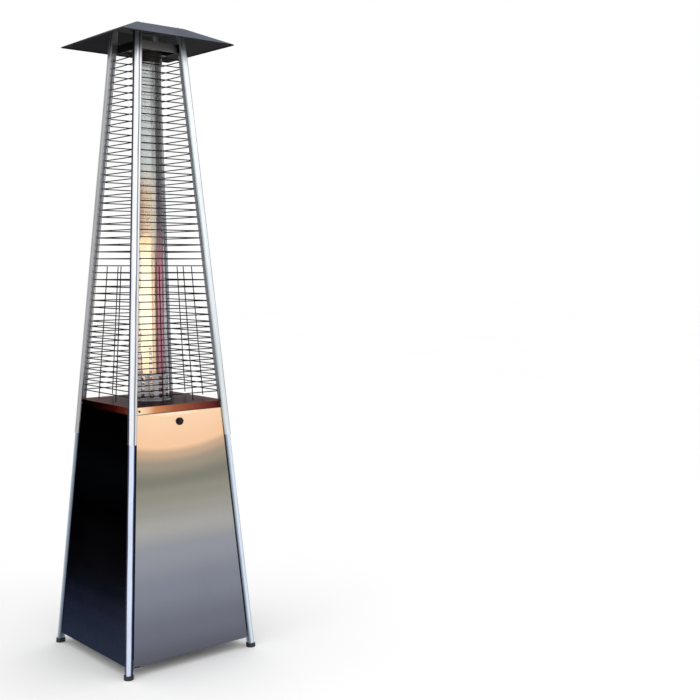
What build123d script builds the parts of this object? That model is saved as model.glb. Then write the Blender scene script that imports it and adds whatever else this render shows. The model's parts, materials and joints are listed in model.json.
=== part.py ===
from build123d import *
import math
import os

# Pyramid gas patio heater. Millimetres, +Z up, floor at Z 0.
# The front (door) side faces -Y. Four corner legs lean in towards the axis.

# ---- driving dimensions -------------------------------------------------
TOTAL_H = 2270.0          # floor to hood top
LEG_A0 = 257.5            # leg centre line to axis at the floor
LEAN = 0.0761             # inward lean of each leg, mm per mm, in both X and Y
YC = -31.5                # the frame's axis in Y, so the whole box is centred on Y 0
LEG_W = 22.0              # lower leg, square tube
LEG_WALL = 1.5
LEG_TOP = 950.0
POST_W = 26.0             # upper post, square extrusion that sleeves over the leg
POST_IN = 22.4
POST_Z0 = 800.0
POST_Z1 = 2267.4
FOOT_H = 14.0
PANEL_T = 1.0
PANEL_D = 6.0             # panel face ahead of the leg centre plane
PANEL_Z0 = 39.0
DOOR_Z1 = 900.5
PANEL_Z1 = 921.0
PANEL_GAP = 15.0          # panel edge to leg centre line
FLANGE = 10.0
DECK_Z = 927.0            # deck top face
DECK_T = 1.2
DECK_LIP_Z = 903.0
LIP_D = 7.4
TRAY_Z0 = 41.0
TRAY_Z1 = 65.0
FRAME_Z0 = 843.0
FRAME_Z1 = 925.7
RAIL_Z0 = 2184.0
RAIL_Z1 = 2214.0
GLASS_R = 50.0
GLASS_WALL = 3.0
GLASS_Z0 = 932.0
GLASS_Z1 = 2162.0
COLLAR_R = 64.0
COLLAR_Z1 = 1027.0
HOOD_TOP_HALF = 96.5
HOOD_RIM_HALF = 224.5
HOOD_RIM_Z = 2212.5
HOOD_T = 1.0
WIRE_R = 1.9
WIRE_PITCH_TOP = 25.4
WIRE_PITCH_LOW = 19.6
KNOB_X = -4.0
KNOB_Z = 866.0
WHEEL_R = 35.0
WHEEL_Y = 302.5
WHEEL_Z = 43.0

os.makedirs("parts", exist_ok=True)

CPHI = 1.0 / math.sqrt(1.0 + LEAN * LEAN)
SPHI = LEAN * CPHI
CENTRE = Axis((0, YC, 0), (0, 0, 1))


def a_at(z):
    """Leg centre line to axis at height z."""
    return LEG_A0 - LEAN * z


def level(z):
    """Horizontal plane at height z, centred on the frame's axis."""
    return Plane(origin=(0, YC, z), x_dir=(1, 0, 0), z_dir=(0, 0, 1))


def face(d=0.0):
    """The front's sloping plane, d ahead of the leg centre plane. Local y runs up the slope."""
    return Plane(origin=(0, YC - LEG_A0, 0), x_dir=(1, 0, 0), z_dir=(0, -1, LEAN)).offset(d)


def up(z, d=0.0):
    """Local y on face(d) of the points at height z."""
    return (z - d * SPHI) / CPHI


def half(v, gap):
    """Half width on the front plane at local y v, less a gap square to the leg."""
    return LEG_A0 - LEAN * CPHI * v - gap * math.sqrt(1 + (LEAN * CPHI) ** 2)


def trapezoid(z0, z1, gap, d=0.0):
    """Corners of a trapezoid between the legs."""
    v0, v1 = up(z0, d), up(z1, d)
    return [(-half(v0, gap), v0), (half(v0, gap), v0), (half(v1, gap), v1), (-half(v1, gap), v1)]


def save(piece, name):
    piece.label = name
    export_step(piece, f"parts/{name}.step")


# The front-left leg: its axis starts at FOOT_P and runs along U.
U = Vector(LEAN, LEAN, 1).normalized()
FOOT_P = Vector(-LEG_A0, YC - LEG_A0, 0)


def leg_plane(z):
    """Square to the front-left leg where its axis is at height z. Local x runs across the corner."""
    p = FOOT_P + Vector(LEAN * z, LEAN * z, z)
    return Plane(origin=p, x_dir=(1, -1, 0), z_dir=U)


CORNERS = ["front_left", "front_right", "rear_right", "rear_left"]
SIDES = ["front", "right", "rear", "left"]

SHEET = 1.5


def ring_half(z, d):
    """Half size at height z of a square ring whose faces lie d off the leg centre planes."""
    return a_at(z) + d / CPHI


def ears(z0, z1, d):
    """One face of a ring, carried on past both corners to lie against the legs."""
    with BuildPart() as strip:
        with BuildSketch(face(d)):
            with BuildLine():
                Polyline(*trapezoid(z0, z1, -7, d), close=True)
            make_face()
        extrude(amount=-SHEET)
    return strip.part


# ---- legs, posts and feet -----------------------------------------------
with BuildPart() as leg:
    with BuildSketch(leg_plane(-10)):
        with BuildSketch(mode=Mode.PRIVATE) as leg_outer:
            Rectangle(LEG_W, LEG_W, rotation=45)
            fillet(leg_outer.vertices(), 4)
        add(leg_outer.sketch)
        offset(leg_outer.sketch, amount=-LEG_WALL, mode=Mode.SUBTRACT)
    extrude(amount=1000)
    split(bisect_by=level(4), keep=Keep.TOP)
    split(bisect_by=level(LEG_TOP), keep=Keep.BOTTOM)

with BuildPart() as post:
    with BuildSketch(leg_plane(POST_Z0 - 20)):
        with BuildSketch(mode=Mode.PRIVATE) as post_outer:
            Rectangle(POST_W, POST_W, rotation=45)
            fillet(post_outer.vertices(), 5)
        add(post_outer.sketch)
        with BuildSketch(mode=Mode.PRIVATE) as post_inner:
            Rectangle(POST_IN, POST_IN, rotation=45)
            fillet(post_inner.vertices(), 4.2)
        add(post_inner.sketch, mode=Mode.SUBTRACT)
        # a shallow groove down each outer face
        with PolarLocations(POST_W / 2, 2, start_angle=-135, angular_range=90, endpoint=True):
            Rectangle(2.0, 6.0, mode=Mode.SUBTRACT)
    extrude(amount=1520)
    split(bisect_by=level(POST_Z0), keep=Keep.TOP)
    split(bisect_by=level(POST_Z1), keep=Keep.BOTTOM)

with BuildPart() as foot:
    with BuildSketch(leg_plane(-20)):
        with BuildSketch(mode=Mode.PRIVATE) as foot_outer:
            Rectangle(28, 28, rotation=45)
            fillet(foot_outer.vertices(), 6)
        add(foot_outer.sketch)
    extrude(amount=60)
    split(bisect_by=level(2), keep=Keep.TOP)
    split(bisect_by=level(FOOT_H), keep=Keep.BOTTOM)
    # the flared sole
    with BuildSketch(Plane(origin=FOOT_P)):
        Circle(17)
    with BuildSketch(Plane(origin=FOOT_P + Vector(0.5, 0.5, 6))):
        Circle(14.5)
    loft()

with BuildPart() as foot_cut:
    with BuildSketch(leg_plane(-20)):
        with BuildSketch(mode=Mode.PRIVATE) as foot_pocket2:
            Rectangle(LEG_W + 0.1, LEG_W + 0.1, rotation=45)
            fillet(foot_pocket2.vertices(), 4.05)
        add(foot_pocket2.sketch)
    extrude(amount=60)
    split(bisect_by=level(4), keep=Keep.TOP)

with BuildPart() as rubber_foot:
    add(foot.part)
    add(foot_cut.part, mode=Mode.SUBTRACT)

for i, c in enumerate(CORNERS):
    save(leg.part.rotate(CENTRE, 90 * i), f"leg_{c}")
    save(post.part.rotate(CENTRE, 90 * i), f"post_{c}")
    save(rubber_foot.part.rotate(CENTRE, 90 * i), f"foot_{c}")

# ---- fixed side and rear panels ------------------------------------------
with BuildPart() as panel:
    with BuildSketch(face(PANEL_D)):
        with BuildLine():
            Polyline(*trapezoid(PANEL_Z0, PANEL_Z1, PANEL_GAP, PANEL_D), close=True)
        make_face()
    extrude(amount=-FLANGE)
    with BuildSketch(face(PANEL_D - PANEL_T)):
        with BuildLine():
            Polyline(*trapezoid(PANEL_Z0 + PANEL_T, PANEL_Z1 + 20, PANEL_GAP + PANEL_T, PANEL_D - PANEL_T), close=True)
        make_face()
    extrude(amount=-FLANGE, mode=Mode.SUBTRACT)
    # clearance for the lip screws near each upper corner
    with BuildSketch(face(PANEL_D + 1)):
        with Locations((-(half(up(913), 0) - 14 - 9), up(913)), (half(up(913), 0) - 14 - 9, up(913))):
            Circle(2.1)
    extrude(amount=-4, mode=Mode.SUBTRACT)

with BuildPart() as panel_rear:
    add(panel.part.rotate(CENTRE, 180))
    # slots in the lower edge for the wheel arms
    with BuildSketch(level(PANEL_Z0 - 2)):
        with Locations((-152, LEG_A0), (152, LEG_A0)):
            Rectangle(9, 60)
    extrude(amount=28, mode=Mode.SUBTRACT)

save(panel.part.rotate(CENTRE, 90), "panel_right")
save(panel_rear.part, "panel_rear")
save(panel.part.rotate(CENTRE, 270), "panel_left")

# ---- hinged front panel ---------------------------------------------------
# hinge frame: local x across the front from the leg axis, local y inwards, z up the leg
EX = Vector(1, 0, 0)
EX = (EX - U * EX.dot(U)).normalized()
HX, HY = 18.0, -3.0


def hinge_plane(t):
    """Square to the front-left leg, t along it from the floor."""
    return Plane(origin=FOOT_P + U * t, x_dir=EX, z_dir=U)


with BuildPart() as front_panel:
    with BuildSketch(face(PANEL_D)):
        with BuildLine():
            Polyline(*trapezoid(PANEL_Z0, DOOR_Z1, PANEL_GAP + 0.5, PANEL_D), close=True)
        make_face()
    extrude(amount=-FLANGE)
    with BuildSketch(face(PANEL_D - PANEL_T)):
        with BuildLine():
            Polyline(*trapezoid(PANEL_Z0 + PANEL_T, DOOR_Z1 - PANEL_T, PANEL_GAP + 0.5 + PANEL_T, PANEL_D - PANEL_T), close=True)
        make_face()
    extrude(amount=-FLANGE, mode=Mode.SUBTRACT)
    # oval opening in front of the control knob
    with BuildSketch(face(PANEL_D + 1)):
        with Locations((KNOB_X, up(KNOB_Z, PANEL_D))):
            SlotOverall(32, 27)
    extrude(amount=-4, mode=Mode.SUBTRACT)
    # pivot holes through the lower and upper flanges
    with BuildSketch(hinge_plane(20)):
        with Locations((HX, HY)):
            Circle(2.05)
    extrude(amount=900, mode=Mode.SUBTRACT)
save(front_panel.part, "front_panel")

# bolt line of the lower hinge bracket
with BuildPart() as hinge_bracket_lower:
    with BuildSketch(hinge_plane(33)):
        with Locations((31, 1.5)):
            Rectangle(30, 19)
    extrude(amount=3)
    with BuildSketch(hinge_plane(33)):
        with Locations((31, 9.75)):
            Rectangle(30, 2.5)
    extrude(amount=28)
    with BuildSketch(hinge_plane(20)):
        with Locations((HX, HY)):
            Circle(2.03)
    extrude(amount=22, mode=Mode.SUBTRACT)
save(hinge_bracket_lower.part, "hinge_bracket_lower")

T_TOP = DOOR_Z1 / U.Z + 6.0
with BuildPart() as hinge_bracket_upper:
    with BuildSketch(hinge_plane(T_TOP)):
        with Locations((32, 3.2)):
            Rectangle(32, 17.4)
    extrude(amount=3)
    with BuildSketch(hinge_plane(T_TOP - 26)):
        with Locations((32, 11.8)):
            Rectangle(32, 2.4)
    extrude(amount=29)
    with BuildSketch(hinge_plane(T_TOP - 10)):
        with Locations((HX, HY)):
            Circle(2.03)
    extrude(amount=20, mode=Mode.SUBTRACT)
save(hinge_bracket_upper.part, "hinge_bracket_upper")

with BuildPart() as hinge_pins:
    with BuildSketch(hinge_plane(32)):
        with Locations((HX, HY)):
            Circle(2.0)
    extrude(amount=16)
    with BuildSketch(hinge_plane(T_TOP - 14)):
        with Locations((HX, HY)):
            Circle(2.0)
    extrude(amount=17)
save(hinge_pins.part, "hinge_pins")

# ---- base tray for the gas cylinder ---------------------------------------
TRAY_D = -LEG_W / 2 - 0.1
tray_ears = ears(TRAY_Z0, TRAY_Z1, TRAY_D)
with BuildPart() as base_tray:
    with BuildSketch(level(TRAY_Z0)):
        h0 = ring_half(TRAY_Z0, TRAY_D)
        Rectangle(2 * h0, 2 * h0)
    with BuildSketch(level(TRAY_Z1)):
        h1 = ring_half(TRAY_Z1, TRAY_D)
        Rectangle(2 * h1, 2 * h1)
    loft()
    with BuildSketch(level(TRAY_Z0 - 1)):
        Rectangle(2 * ring_half(TRAY_Z0 - 1, TRAY_D - SHEET), 2 * ring_half(TRAY_Z0 - 1, TRAY_D - SHEET))
    with BuildSketch(level(TRAY_Z1 - 1.5)):
        Rectangle(2 * ring_half(TRAY_Z1 - 1.5, TRAY_D - SHEET), 2 * ring_half(TRAY_Z1 - 1.5, TRAY_D - SHEET))
    loft(mode=Mode.SUBTRACT)
    add([tray_ears.rotate(CENTRE, 90 * i) for i in range(4)])
    # air slots round the cylinder, one of them straight below the gas inlet, and a drain hole
    with BuildSketch(level(TRAY_Z1 + 1)):
        with PolarLocations(155, 8):
            SlotOverall(64, 32, rotation=90)
        Circle(20)
    extrude(amount=-4, mode=Mode.SUBTRACT)
    # slots in the rear skirt for the wheel arms
    with BuildSketch(level(TRAY_Z0 - 2)):
        with Locations((-152, LEG_A0 - 20), (152, LEG_A0 - 20)):
            Rectangle(4.4, 60)
    extrude(amount=23.6, mode=Mode.SUBTRACT)
save(base_tray.part, "base_tray")

with BuildPart() as cylinder_ring:
    with BuildSketch(level(TRAY_Z1)):
        Circle(112)
        Circle(106, mode=Mode.SUBTRACT)
    extrude(amount=2)
    with BuildSketch(level(TRAY_Z1)):
        Circle(107.5)
        Circle(106, mode=Mode.SUBTRACT)
    extrude(amount=14)
save(cylinder_ring.part, "cylinder_ring")

# bolts that hold the tray to the legs, heads inside the tray
with BuildPart() as tray_bolts:
    with BuildSketch(face(TRAY_D - 1.5)):
        with Locations((-half(up(52), 7.5), up(52)), (half(up(52), 7.5), up(52))):
            RegularPolygon(3.2, 6)
    extrude(amount=-3)

# ---- rear wheels ----------------------------------------------------------
with BuildPart() as wheel_bracket:
    with BuildSketch(Plane(origin=(-154, 0, 0), x_dir=(0, 1, 0), z_dir=(1, 0, 0))):
        with BuildLine():
            Polyline((150 + YC, TRAY_Z1 - 1.6), (150 + YC, 45), (215 + YC, 45), (WHEEL_Y - 4 + YC, WHEEL_Z - 12),
                     (WHEEL_Y + 12 + YC, WHEEL_Z - 8), (WHEEL_Y + 12 + YC, WHEEL_Z + 8), (WHEEL_Y + 4 + YC, WHEEL_Z + 13),
                     (235 + YC, 61), (225 + YC, TRAY_Z1 - 1.6), close=True)
        make_face()
    extrude(amount=4)
    mirror(about=Plane.YZ)
    with BuildSketch(Plane(origin=(0, YC, TRAY_Z1 - 1.6))):
        with Locations((0, 187.5)):
            Rectangle(308, 75)
            Rectangle(250, 45, mode=Mode.SUBTRACT)
    extrude(amount=-3)
    with BuildSketch(Plane(origin=(-200, WHEEL_Y + YC, WHEEL_Z), x_dir=(0, 1, 0), z_dir=(1, 0, 0))):
        Circle(5.05)
    extrude(amount=400, mode=Mode.SUBTRACT)
save(wheel_bracket.part, "wheel_bracket")

with BuildPart() as wheel_axle:
    with BuildSketch(Plane(origin=(-190, WHEEL_Y + YC, WHEEL_Z), x_dir=(0, 1, 0), z_dir=(1, 0, 0))):
        Circle(5.0)
    extrude(amount=380)
save(wheel_axle.part, "wheel_axle")

for side, sx in (("left", -1), ("right", 1)):
    with BuildPart() as wheel:
        with BuildSketch(Plane(origin=(sx * 170, WHEEL_Y + YC, WHEEL_Z), x_dir=(0, 1, 0), z_dir=(1, 0, 0)).offset(-12)):
            Circle(WHEEL_R)
            Circle(5.05, mode=Mode.SUBTRACT)
        extrude(amount=24)
        fillet(wheel.edges().filter_by(GeomType.CIRCLE).group_by(SortBy.RADIUS)[-1], 5)
        # dished hub on both faces
        with BuildSketch(Plane(origin=(sx * 170, WHEEL_Y + YC, WHEEL_Z), x_dir=(0, 1, 0), z_dir=(1, 0, 0)).offset(-12.5)):
            Circle(25)
            Circle(10, mode=Mode.SUBTRACT)
        extrude(amount=6.5, mode=Mode.SUBTRACT)
        with BuildSketch(Plane(origin=(sx * 170, WHEEL_Y + YC, WHEEL_Z), x_dir=(0, 1, 0), z_dir=(1, 0, 0)).offset(12.5)):
            Circle(25)
            Circle(10, mode=Mode.SUBTRACT)
        extrude(amount=-6.5, mode=Mode.SUBTRACT)
    save(wheel.part, f"wheel_{side}")

with BuildPart() as axle_caps:
    for sx in (-1, 1):
        with BuildSketch(Plane(origin=(sx * 183.2, WHEEL_Y + YC, WHEEL_Z), x_dir=(0, 1, 0), z_dir=(sx, 0, 0))):
            Circle(8)
        extrude(amount=9)
        with BuildSketch(Plane(origin=(sx * 183.2, WHEEL_Y + YC, WHEEL_Z), x_dir=(0, 1, 0), z_dir=(sx, 0, 0))):
            Circle(5.02)
        extrude(amount=6.9, mode=Mode.SUBTRACT)
save(axle_caps.part, "axle_caps")

# ---- upper frame behind the posts -----------------------------------------
FRAME_D = -POST_W / 2 - 0.1
frame_ears = ears(FRAME_Z0, FRAME_Z1 - 0.2, FRAME_D)
with BuildPart() as upper_frame:
    with BuildSketch(level(FRAME_Z0)):
        f0 = ring_half(FRAME_Z0, FRAME_D)
        Rectangle(2 * f0, 2 * f0)
    with BuildSketch(level(FRAME_Z1)):
        f1 = ring_half(FRAME_Z1, FRAME_D)
        Rectangle(2 * f1, 2 * f1)
    loft()
    with BuildSketch(level(FRAME_Z0 - 1)):
        Rectangle(2 * ring_half(FRAME_Z0 - 1, FRAME_D - SHEET), 2 * ring_half(FRAME_Z0 - 1, FRAME_D - SHEET))
    with BuildSketch(level(FRAME_Z1 - 1.5)):
        Rectangle(2 * ring_half(FRAME_Z1 - 1.5, FRAME_D - SHEET), 2 * ring_half(FRAME_Z1 - 1.5, FRAME_D - SHEET))
    loft(mode=Mode.SUBTRACT)
    add([frame_ears.rotate(CENTRE, 90 * i) for i in range(4)])
    # the middle is open, leaving a flange under the deck
    with BuildSketch(level(FRAME_Z1 + 1)):
        Rectangle(270, 270)
    extrude(amount=-5, mode=Mode.SUBTRACT)
    # hole for the valve neck
    with BuildSketch(face(FRAME_D + 2)):
        with Locations((KNOB_X, up(KNOB_Z, FRAME_D))):
            Circle(9.2)
    extrude(amount=-8, mode=Mode.SUBTRACT)
    # the left side's front end stops short of the space the front panel's hinged edge swings through
    with BuildSketch(face(15)):
        v0, v1 = up(FRAME_Z0 - 6, 15), up(FRAME_Z1 + 6, 15)
        with BuildLine():
            Polyline((-half(v0, -14), v0), (-half(v0, 30), v0), (-half(v1, 30), v1), (-half(v1, -14), v1), close=True)
        make_face()
    extrude(amount=-19.2, mode=Mode.SUBTRACT)
save(upper_frame.part, "upper_frame")

with BuildPart() as frame_bolts:
    with BuildSketch(face(FRAME_D - 1.5)):
        with Locations((-half(up(870), 8.5), up(870)), (half(up(870), 8.5), up(870))):
            RegularPolygon(3.6, 6)
    extrude(amount=-3)

# ---- deck ------------------------------------------------------------------
deck_half = a_at(DECK_Z) + LIP_D
with BuildPart() as lip:
    with BuildSketch(face(LIP_D)):
        with BuildLine():
            Polyline(*trapezoid(DECK_LIP_Z, DECK_Z - 0.3, PANEL_GAP, LIP_D), close=True)
        make_face()
    extrude(amount=-DECK_T)
    with BuildSketch(face(LIP_D + 1)):
        with Locations((-(half(up(913), 0) - 14 - 9), up(913)), (half(up(913), 0) - 14 - 9, up(913))):
            Circle(2.1)
    extrude(amount=-4, mode=Mode.SUBTRACT)

with BuildPart() as deck:
    with BuildSketch(level(DECK_Z - DECK_T)):
        Rectangle(2 * deck_half, 2 * deck_half)
        notch = a_at(DECK_Z) - PANEL_GAP
        with GridLocations(2 * (notch + 25), 2 * (notch + 25), 2, 2):
            Rectangle(50, 50, mode=Mode.SUBTRACT)
        Circle(44, mode=Mode.SUBTRACT)
    extrude(amount=DECK_T)
    add([lip.part.rotate(CENTRE, 90 * i) for i in range(4)])
    # air holes round the burner
    with BuildSketch(level(DECK_Z + 1)):
        with PolarLocations(82, 24):
            Circle(3)
        with PolarLocations(96, 24, start_angle=7.5):
            Circle(3)
    extrude(amount=-4, mode=Mode.SUBTRACT)
save(deck.part, "deck")

with BuildPart() as lip_screw:
    with BuildSketch(face(LIP_D)):
        with Locations((-(half(up(913), 0) - 14 - 9), up(913)), (half(up(913), 0) - 14 - 9, up(913))):
            Circle(4.2)
    extrude(amount=2.4)
    fillet(lip_screw.faces().sort_by(Axis.Y)[0:2].edges(), 1.4)
    with BuildSketch(face(LIP_D)):
        with Locations((-(half(up(913), 0) - 14 - 9), up(913)), (half(up(913), 0) - 14 - 9, up(913))):
            Circle(2.0)
    extrude(amount=-8)
save(Compound(label="lip_screws", children=[s for i in range(4) for s in lip_screw.part.rotate(CENTRE, 90 * i).solids()]), "lip_screws")

# ---- burner group ----------------------------------------------------------
with BuildPart() as burner_head:
    with BuildSketch(Plane(origin=(0, YC, 0), x_dir=(1, 0, 0), z_dir=(0, -1, 0))):
        with BuildLine():
            Polyline((0, 962), (38, 962), (40, 960), (40, 900), (22, 884), (14, 880), (14, 850), (12, 850),
                     (12, 881.5), (21, 885.5), (38.5, 901), (38.5, 959.5), (37.5, 960.5), (0, 960.5), close=True)
        make_face()
    revolve(axis=CENTRE)
    # flame ports
    with BuildSketch(level(963)):
        Circle(2)
        with PolarLocations(8, 6):
            Circle(1.8)
        with PolarLocations(15, 12):
            Circle(1.8)
        with PolarLocations(22, 18):
            Circle(1.8)
        with PolarLocations(29, 24):
            Circle(1.8)
    extrude(amount=-5, mode=Mode.SUBTRACT)
    # air windows of the mixing throat
    with BuildSketch(Plane(origin=(-30, YC, 862), x_dir=(0, 1, 0), z_dir=(1, 0, 0))):
        SlotOverall(14, 8, rotation=90)
    extrude(amount=60, mode=Mode.SUBTRACT)
    # ledge that hangs the head in its cradle
    with BuildSketch(level(921.5)):
        Circle(43.5)
        Circle(39.5, mode=Mode.SUBTRACT)
    extrude(amount=1.5)
save(burner_head.part, "burner_head")

with BuildPart() as burner_cradle:
    with BuildSketch(level(920)):
        Rectangle(2 * 134, 44)
        Circle(52)
        Circle(40.6, mode=Mode.SUBTRACT)
    extrude(amount=1.5)
    with BuildSketch(level(920)):
        with Locations((-145, 0), (145, 0)):
            Rectangle(34, 44)
    extrude(amount=1.5)
    # step up to the frame flange at both ends
    with BuildSketch(level(921.5)):
        with Locations((-133, 0), (133, 0)):
            Rectangle(3, 44)
    extrude(amount=4.2)
save(burner_cradle.part, "burner_cradle")

with BuildPart() as injector:
    with BuildSketch(level(832)):
        RegularPolygon(9, 6)
    extrude(amount=10)
    with BuildSketch(level(842)):
        Circle(5)
    extrude(amount=14)
    with BuildSketch(level(831)):
        Circle(0.8)
    extrude(amount=30, mode=Mode.SUBTRACT)
save(injector.part, "injector")

with BuildPart() as injector_bracket:
    with BuildSketch(level(842.1)):
        Circle(20)
        Rectangle(100, 14)
        Circle(5.2, mode=Mode.SUBTRACT)
    extrude(amount=2)
    with BuildSketch(level(842.1)):
        with GridLocations(98, 0, 2, 1):
            Rectangle(2, 14)
    extrude(amount=77.8)
save(injector_bracket.part, "injector_bracket")

with BuildPart() as tube_seat:
    with BuildSketch(level(DECK_Z)):
        Circle(61.5)
        Circle(44, mode=Mode.SUBTRACT)
    extrude(amount=2)
    with BuildSketch(level(DECK_Z)):
        Circle(52.3)
        Circle(50.9, mode=Mode.SUBTRACT)
    extrude(amount=16)
save(tube_seat.part, "tube_seat")

with BuildPart() as tube_gasket:
    with BuildSketch(level(DECK_Z + 2)):
        Circle(50.8)
        Circle(45.5, mode=Mode.SUBTRACT)
    extrude(amount=GLASS_Z0 - DECK_Z - 2)
save(tube_gasket.part, "tube_gasket")

with BuildPart() as glass_tube:
    with BuildSketch(level(GLASS_Z0)):
        Circle(GLASS_R)
        Circle(GLASS_R - GLASS_WALL, mode=Mode.SUBTRACT)
    extrude(amount=GLASS_Z1 - GLASS_Z0)
save(glass_tube.part, "glass_tube")

with BuildPart() as burner_screen:
    with BuildSketch(level(DECK_Z)):
        Circle(COLLAR_R)
        Circle(COLLAR_R - 1.2, mode=Mode.SUBTRACT)
    extrude(amount=COLLAR_Z1 - DECK_Z)
    # windows, four rows of twelve
    for row in range(4):
        with Locations(*[Location((0, YC, 946 + 21.5 * row), (0, 0, 30 * k)) for k in range(6)]):
            Box(160, 15, 15, mode=Mode.SUBTRACT)
    # rolled top rim
    with BuildSketch(Plane(origin=(0, YC, 0), x_dir=(1, 0, 0), z_dir=(0, -1, 0))):
        with Locations((COLLAR_R - 0.6, COLLAR_Z1 - 1)):
            Circle(2.0)
    revolve(axis=CENTRE)
    # foot flange on the deck
    with BuildSketch(level(DECK_Z)):
        Circle(71)
        Circle(COLLAR_R - 1.2, mode=Mode.SUBTRACT)
    extrude(amount=1.2)
save(burner_screen.part, "burner_screen")

# pilot, igniter and thermocouple stand together beside the head, inside the glass foot
with BuildPart() as pilot_burner:
    with BuildSketch(Plane(origin=(0, YC, 860))):
        with Locations((0, -58)):
            Circle(3)
    extrude(amount=58)
    with BuildSketch(Plane(origin=(0, YC, 900))):
        with Locations((0, -58)):
            Circle(5)
    extrude(amount=14)
save(pilot_burner.part, "pilot_burner")

with BuildPart() as pilot_bracket:
    with BuildSketch(level(890)):
        with Locations((0, -58)):
            Rectangle(44, 14)
            Circle(3.05, mode=Mode.SUBTRACT)
        with Locations((-15, -58)):
            Circle(3.05, mode=Mode.SUBTRACT)
        with Locations((15, -58)):
            Circle(3.05, mode=Mode.SUBTRACT)
    extrude(amount=2)
    with BuildSketch(level(890)):
        with Locations((0, -64.25)):
            Rectangle(44, 1.5)
    extrude(amount=35.8)
save(pilot_bracket.part, "pilot_bracket")

with BuildPart() as thermocouple:
    with BuildSketch(Plane(origin=(15, YC - 58, 872))):
        Circle(3)
    extrude(amount=24)
    with BuildSketch(Plane(origin=(15, YC - 58, 896))):
        Circle(2)
    extrude(amount=22)
save(thermocouple.part, "thermocouple")

with BuildPart() as igniter_electrode:
    with BuildSketch(Plane(origin=(-15, YC - 58, 872))):
        Circle(3)
    extrude(amount=26)
    with BuildSketch(Plane(origin=(-15, YC - 58, 898))):
        Circle(1)
    extrude(amount=16)
save(igniter_electrode.part, "igniter_electrode")

# ---- gas valve, stem and knob ----------------------------------------------
KV = up(KNOB_Z, FRAME_D)


def knob_plane(d):
    """Square to the front, d ahead of the leg centre plane, on the stem's axis."""
    return Plane(origin=Vector(KNOB_X, YC - LEG_A0, 0) + Vector(0, SPHI, CPHI) * KV + Vector(0, -CPHI, SPHI) * d,
                 x_dir=(1, 0, 0), z_dir=(0, -1, LEAN))


with BuildPart() as valve_body:
    with BuildSketch(knob_plane(FRAME_D - 3)):
        RectangleRounded(46, 34, 5)
    extrude(amount=-40)
    with BuildSketch(knob_plane(FRAME_D - 3)):
        Circle(9.0)
    extrude(amount=9.6)
    # stem bore, with the wider spring pocket behind it
    with BuildSketch(knob_plane(FRAME_D + 8)):
        Circle(4.05)
    extrude(amount=-47.5, mode=Mode.SUBTRACT)
    with BuildSketch(knob_plane(FRAME_D - 12)):
        Circle(8.05)
    extrude(amount=-12, mode=Mode.SUBTRACT)
    # gas inlet neck below
    with BuildSketch(Plane(origin=knob_plane(FRAME_D - 23).origin - Vector(0, 0, 14), z_dir=(0, 0, -1))):
        Circle(8.5)
    extrude(amount=12)
save(valve_body.part, "valve_body")

inlet_p = knob_plane(FRAME_D - 23).origin - Vector(0, 0, 26)
with BuildPart() as gas_inlet:
    with BuildSketch(Plane(origin=inlet_p, z_dir=(0, 0, -1))):
        RegularPolygon(9, 6)
    extrude(amount=7)
    with BuildSketch(Plane(origin=inlet_p, z_dir=(0, 0, -1))):
        Circle(6.6)
    extrude(amount=22)
    with BuildSketch(Plane(origin=inlet_p, z_dir=(0, 0, -1))):
        Circle(3)
    extrude(amount=23, mode=Mode.SUBTRACT)
save(gas_inlet.part, "gas_inlet")

with BuildPart() as spring_cup:
    with BuildSketch(knob_plane(FRAME_D - 14)):
        Circle(8.0)
        Circle(4.05, mode=Mode.SUBTRACT)
    extrude(amount=-3)
save(spring_cup.part, "spring_cup")

with BuildPart() as valve_stem:
    with BuildSketch(knob_plane(FRAME_D - 34)):
        Circle(4.0)
    extrude(amount=34 - FRAME_D + 10)
    # flat of the D shaped end
    with BuildSketch(knob_plane(3)):
        with Locations((0, 4.6)):
            Rectangle(10, 3.2)
    extrude(amount=12, mode=Mode.SUBTRACT)
save(valve_stem.part, "valve_stem")

with BuildPart() as control_knob:
    with BuildSketch(knob_plane(2.5)):
        Circle(11)
    extrude(amount=10, taper=3)
    fillet(control_knob.faces().sort_by(Axis.Y)[0].edges(), 1.2)
    # grip bar across the dial
    with BuildSketch(knob_plane(10)):
        SlotOverall(20.5, 7)
    extrude(amount=8)
    fillet(control_knob.faces().sort_by(Axis.Y)[0].edges(), 1.0)
    with BuildSketch(knob_plane(1.5)):
        Circle(4.03)
    extrude(amount=9, mode=Mode.SUBTRACT)
save(control_knob.part, "control_knob")

with BuildPart() as tilt_switch:
    with BuildSketch(face(FRAME_D - SHEET)):
        with Locations((90, up(883))):
            RectangleRounded(34, 30, 3)
    extrude(amount=-24)
save(tilt_switch.part, "tilt_switch")

# ---- catch for the front panel ----------------------------------------------
with BuildPart() as door_magnet:
    with BuildSketch(face(4.7)):
        v = up(480)
        with Locations((half(v, 0) - 26, v)):
            Rectangle(10, 40)
    extrude(amount=-15.8)
save(door_magnet.part, "door_magnet")

with BuildPart() as catch_bracket:
    with BuildSketch(face(-LEG_W / 2 - 0.1)):
        v = up(480)
        with Locations((half(v, 0) - 13, v)):
            Rectangle(38, 50)
    extrude(amount=-2)
save(catch_bracket.part, "catch_bracket")

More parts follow.
